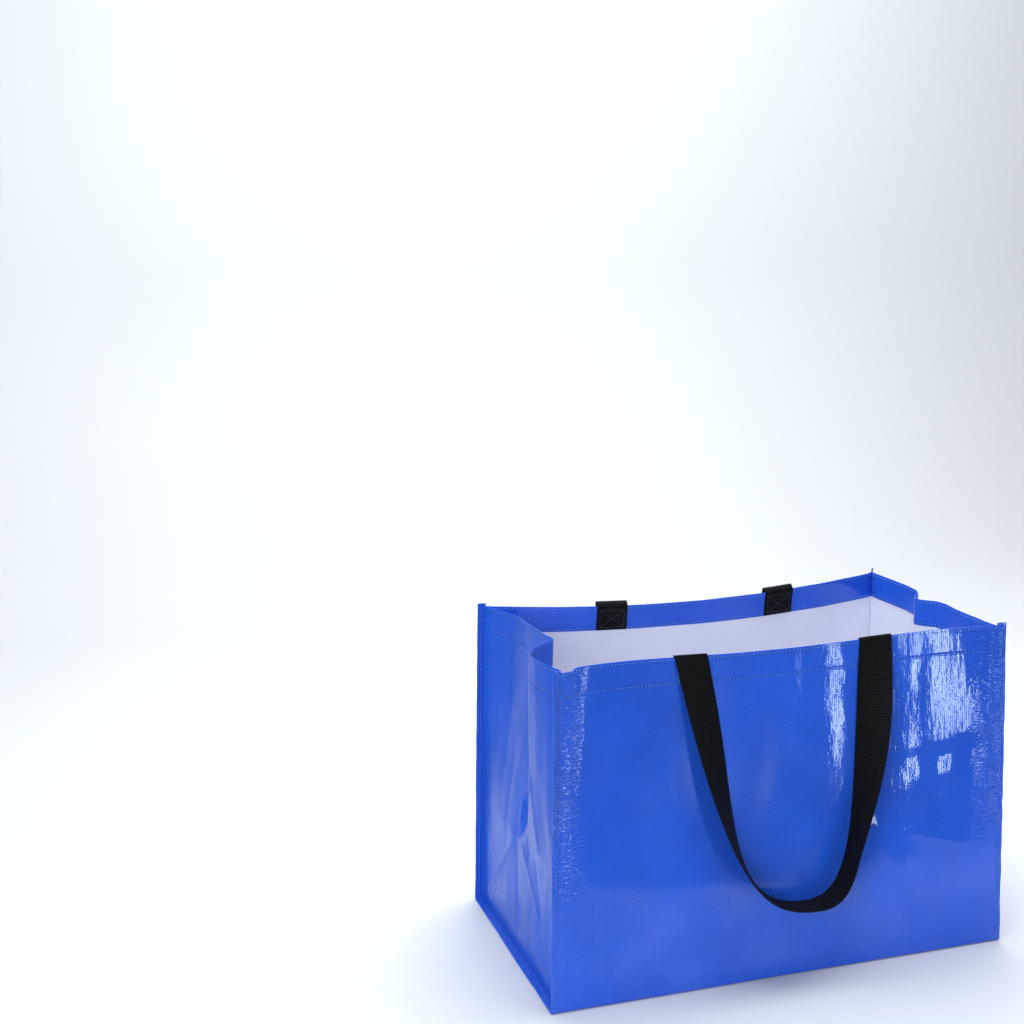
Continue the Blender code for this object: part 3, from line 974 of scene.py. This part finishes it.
def film_material(name, dark, light, gloss, roughness, seam_place):
    """Blue film over woven tape: glossy on each tape, dull in the gaps, puckered at the seams, with
    painted shade in the gaps and on the lower tapes.
    """
    material, nodes, links, shader = new_material(name, light, roughness)
    flat, across, along = flat_place(nodes, links)
    weave, crossing = tape_weave(nodes, links, across, along)
    lower_tapes = spread_over(nodes, links, crossing, 0.0, 1.0, 1.0, 0.45)
    crown = maths(nodes, links, "MULTIPLY", weave, lower_tapes)

    tint = shade_between(nodes, links, noise_on(nodes, links, flat, 9.0, 3.0), dark, light, 0.3, 0.7)
    # Painted shade: the colour is darker in the gaps between tapes and on the lower tapes and full on
    # the crowns, as light falls on the weave.
    painted_weave_shade = shade_between(nodes, links, crown, (0.55, 0.66, 0.80), (1.0, 1.0, 1.0), high=0.6)
    darkened = nodes.new("ShaderNodeMix")
    darkened.data_type = "RGBA"
    darkened.blend_type = "MULTIPLY"
    darkened.inputs["Factor"].default_value = 1.0
    links.new(tint, darkened.inputs[6])
    links.new(painted_weave_shade, darkened.inputs[7])
    links.new(darkened.outputs[2], shader.inputs["Base Color"])

    # In patches the film is pressed flat, and the weave shows less in its shine.
    pressed = spread_over(nodes, links, noise_on(nodes, links, flat, 11.0, 2.0), 0.4, 0.62, 0.45, 0.0)
    evened = maths(nodes, links, "MAXIMUM", crown, pressed)
    shine = spread_over(nodes, links, evened, 0.05, 0.45, 0.1 * gloss, gloss)
    links.new(shine, shader.inputs["Specular IOR Level"])

    # Puckers beside the seams, which end near the bottom of the front.
    aside = maths(nodes, links, "ABSOLUTE", across)
    near_seam = spread_over(nodes, links, aside, seam_place - 0.036, seam_place - 0.010, 0.0, 1.0)
    high_up = spread_over(nodes, links, along, PUCKERS_END, PUCKERS_FULL, 0.0, 1.0)
    ladder = noise_on(nodes, links, flat, 400.0, 1.0, (0.4, 1.0, 1.0))
    ladder = maths(nodes, links, "MULTIPLY", ladder, high_up)
    pucker = bump_on(nodes, links, maths(nodes, links, "MULTIPLY", ladder, near_seam), 0.0011)

    # Fine crinkles along the tapes, stronger towards the right.
    worn = spread_over(nodes, links, across, 0.0, 0.06, 0.1, 1.2)
    tapes = noise_on(nodes, links, flat, 200.0, 2.0, (1.0, 0.3, 1.0))
    tapes = maths(nodes, links, "MULTIPLY", tapes, worn)
    crinkle = bump_on(nodes, links, tapes, 0.00016, 1.0, pucker)
    links.new(bump_on(nodes, links, crown, 0.000015, 1.0, crinkle), shader.inputs["Normal"])
    return material


def lining_material():
    """The uncoated white side, faintly lavender, with its weave plain to see."""
    material, nodes, links, shader = new_material("white_lining", (0.84, 0.86, 0.97), 0.5)
    flat, across, along = flat_place(nodes, links)
    weave, _ = tape_weave(nodes, links, across, along)
    # Painted shade: the colour is darker and bluer in the gaps between tapes, as light falls on the
    # weave.
    painted_weave_shade = shade_between(nodes, links, weave, (0.66, 0.67, 0.86), (0.90, 0.90, 0.97), high=0.45)
    links.new(painted_weave_shade, shader.inputs["Base Color"])
    crinkle = bump_on(nodes, links, noise_on(nodes, links, flat, 90.0, 2.0), 0.0008, 0.4)
    links.new(bump_on(nodes, links, weave, 0.00015, 1.0, crinkle), shader.inputs["Normal"])
    return material


def webbing_material(name):
    """Black woven webbing with fine ribs across it and a herringbone of yarns, with painted highlight
    on the ribs and painted shade in the grooves.
    """
    material, nodes, links, shader = new_material(name, (0.006, 0.006, 0.007), 0.55)
    flat, across, along = flat_place(nodes, links)
    rib = maths(nodes, links, "MULTIPLY", along, 2 * math.pi / RIB_PITCH)
    yarn = maths(nodes, links, "MULTIPLY", across, 2 * math.pi / YARN_PITCH)
    slant = maths(nodes, links, "MULTIPLY_ADD", maths(nodes, links, "SINE", yarn), 0.8, rib)
    ribs = maths(nodes, links, "SINE", slant)
    height = maths(nodes, links, "MULTIPLY_ADD", maths(nodes, links, "COSINE", yarn), 0.35, ribs)
    # Painted highlight and shade: the colour is lighter on the raised ribs and darker in the grooves,
    # following their height.
    level = maths(nodes, links, "MULTIPLY_ADD", height, 0.36, 0.5)
    tint = shade_between(nodes, links, level, (0.0, 0.0, 0.0), (0.012, 0.0125, 0.0135))
    links.new(tint, shader.inputs["Base Color"])
    coarse = bump_on(nodes, links, height, 0.00025)
    fuzz = noise_on(nodes, links, flat, 900.0, 2.0)
    links.new(bump_on(nodes, links, fuzz, 0.0002, 0.5, coarse), shader.inputs["Normal"])
    shader.inputs["Specular IOR Level"].default_value = 0.08
    return material


def thread_material(name, colour):
    material, nodes, links, shader = new_material(name, colour, 0.45)
    where = nodes.new("ShaderNodeTexCoord")
    twist = noise_on(nodes, links, where.outputs["Object"], 1500.0, 2.0)
    dark = tuple(0.6 * part for part in colour)
    light = tuple(min(1.3 * part, 1.0) for part in colour)
    links.new(shade_between(nodes, links, twist, dark, light), shader.inputs["Base Color"])
    links.new(bump_on(nodes, links, twist, 0.0002, 0.5), shader.inputs["Normal"])
    shader.inputs["Specular IOR Level"].default_value = 0.15
    return material


# ---- Table, lights and camera

def select_edges(piece, wanted):
    """Selects the edges whose two ends are both wanted."""
    bpy.ops.mesh.select_mode(type="EDGE")
    bpy.ops.mesh.select_all(action="DESELECT")
    mesh = bmesh.from_edit_mesh(piece.data)
    for edge in mesh.edges:
        edge.select_set(all(wanted(vertex.co) for vertex in edge.verts))
    bmesh.update_edit_mesh(piece.data)


def make_table():
    """A pale sheet that runs from just in front of the tote and sweeps up behind it."""
    deselect_all()
    bpy.ops.mesh.primitive_plane_add(size=1.0, location=(0, 0, 0))
    table = bpy.context.object
    table.name = "table_sweep"
    bpy.ops.object.mode_set(mode="EDIT")
    bpy.ops.mesh.select_all(action="SELECT")
    bpy.ops.transform.resize(value=TABLE_SIZE, center_override=(0, 0, 0))
    bpy.ops.transform.translate(value=(0.0, TABLE_MIDDLE, 0.0))
    select_edges(table, lambda point: point.y > TABLE_BACK)
    bpy.ops.mesh.extrude_region_move(TRANSFORM_OT_translate={"value": (0.0, 0.0, SWEEP_HEIGHT)})
    select_edges(table, lambda point: point.y > TABLE_BACK and point.z < SWEEP_HEIGHT / 2)
    bpy.ops.mesh.bevel(offset=SWEEP_RADIUS, segments=18, affect="EDGES")
    bpy.ops.object.mode_set(mode="OBJECT")
    bpy.ops.object.shade_smooth()
    material, nodes, links, shader = new_material("pale_paper", (0.80, 0.80, 0.81), 0.6)
    where = nodes.new("ShaderNodeTexCoord")
    grain = noise_on(nodes, links, where.outputs["Object"], 400.0, 2.0)
    links.new(bump_on(nodes, links, grain, 0.0003, 0.15), shader.inputs["Normal"])
    table.data.materials.append(material)


def softbox(name, place, aim, width, height, radiance, colour=SOFT_WHITE):
    """A rectangular lamp at place that faces aim and isn't seen itself."""
    data = bpy.data.lights.new(name, "AREA")
    data.shape = "RECTANGLE"
    data.size = width
    data.size_y = height
    data.energy = math.pi * radiance * width * height
    data.color = colour
    lamp = bpy.data.objects.new(name, data)
    lamp.location = place
    lamp.rotation_euler = (Vector(aim) - Vector(place)).to_track_quat("-Z", "Y").to_euler()
    lamp.visible_camera = False
    bpy.context.scene.collection.objects.link(lamp)


def make_studio():
    strip_y = -5.14
    softbox("strip_softbox", (1.75, strip_y, -0.05), (0.21, -0.14, 0.20), 0.42, 1.70, 15.0, STRIP_BLUE)
    softbox("seam_softbox", (5.20, strip_y, -1.20), (-0.25, -0.14, 0.25), 0.24, 1.90, 15.0, STRIP_BLUE)
    softbox("fill_softbox", (-1.95, -2.05, 1.25), (0.0, 0.0, 0.15), 1.3, 1.3, 7.4)
    softbox("overhead_softbox", (0.1, 0.15, 2.0), (0.0, 0.1, 0.0), 1.8, 1.8, 4.9)
    softbox("sweep_softbox", (0.6, 1.1, 2.3), (0.6, 2.4, 0.6), 2.4, 0.8, 4.0)
    world = bpy.data.worlds.new("studio_air")
    world.use_nodes = True
    air = world.node_tree.nodes["Background"]
    air.inputs["Color"].default_value = (0.93, 0.95, 1.0, 1.0)
    air.inputs["Strength"].default_value = 0.20
    bpy.context.scene.world = world
    bpy.context.scene.view_settings.view_transform = "Standard"


def make_camera():
    data = bpy.data.cameras.new("photo_camera")
    data.sensor_width = SENSOR_WIDTH
    data.lens = SENSOR_WIDTH * FOCAL_PIXELS / PICTURE_PIXELS
    data.clip_start = 0.05
    data.clip_end = 60.0
    camera = bpy.data.objects.new("photo_camera", data)
    ahead = Vector((math.sin(CAMERA_YAW), math.cos(CAMERA_YAW), 0.0))
    level = Vector((math.cos(CAMERA_YAW), -math.sin(CAMERA_YAW), 0.0))
    forward = math.cos(CAMERA_PITCH) * ahead - math.sin(CAMERA_PITCH) * Vector((0.0, 0.0, 1.0))
    raised = level.cross(forward)
    right = math.cos(CAMERA_ROLL) * level + math.sin(CAMERA_ROLL) * raised
    up = -math.sin(CAMERA_ROLL) * level + math.cos(CAMERA_ROLL) * raised
    turn = Matrix((right, up, -forward)).transposed().to_4x4()
    camera.matrix_world = Matrix.Translation(CAMERA_PLACE) @ turn
    bpy.context.scene.collection.objects.link(camera)
    bpy.context.scene.camera = camera


# ---- The tote

film = film_material(
    "blue_film", (0.024, 0.117, 0.70), (0.031, 0.146, 0.84), 0.6, 0.07, BASE_WIDTH / 2,
)
gusset_film = film_material(
    "gusset_film", (0.025, 0.122, 0.68), (0.032, 0.148, 0.82), 0.12, 0.18, BASE_DEPTH / 2,
)
lining = lining_material()
webbing = webbing_material("black_webbing")
blue_thread = thread_material("blue_thread", (0.16, 0.30, 0.90))
# Painted shade: dark dashes for the shade in the needle holes between stitches.
hole_shadow = thread_material("needle_hole_shadow", (0.006, 0.012, 0.10))
dark_thread = thread_material("dark_thread", (0.06, 0.065, 0.12))

wrap = make_wrap(film, lining)
left_gusset = make_gusset(
    "left_gusset_sheet", "gusset_left", LEFT, left_pleat, left_creases, gusset_film, lining,
)
right_gusset = make_gusset(
    "right_gusset_sheet", "gusset_right", RIGHT, right_pleat, right_creases, gusset_film, lining,
)
front_strap, front_length = make_strap("front_strap", "handle_front", FRONT, FRONT_SLACK, webbing)
back_strap, back_length = make_strap("back_strap", "handle_back", BACK, BACK_SLACK, webbing)

pattern = one_stitch()
hem_rows_sewn = hem_stitching(pattern, blue_thread, hole_shadow)
seam_stitching(pattern, blue_thread, hole_shadow)
tab_face = PLY + STRAP_OFFSET + STRAP_THICKNESS / 2
strap_stitching("strap_stitching", pattern, dark_thread, tab_face, 1)
strap_stitching("strap_stitching_outside", pattern, blue_thread, -SHEET / 2, -1)
bpy.data.objects.remove(pattern)

make_table()
make_studio()
make_camera()
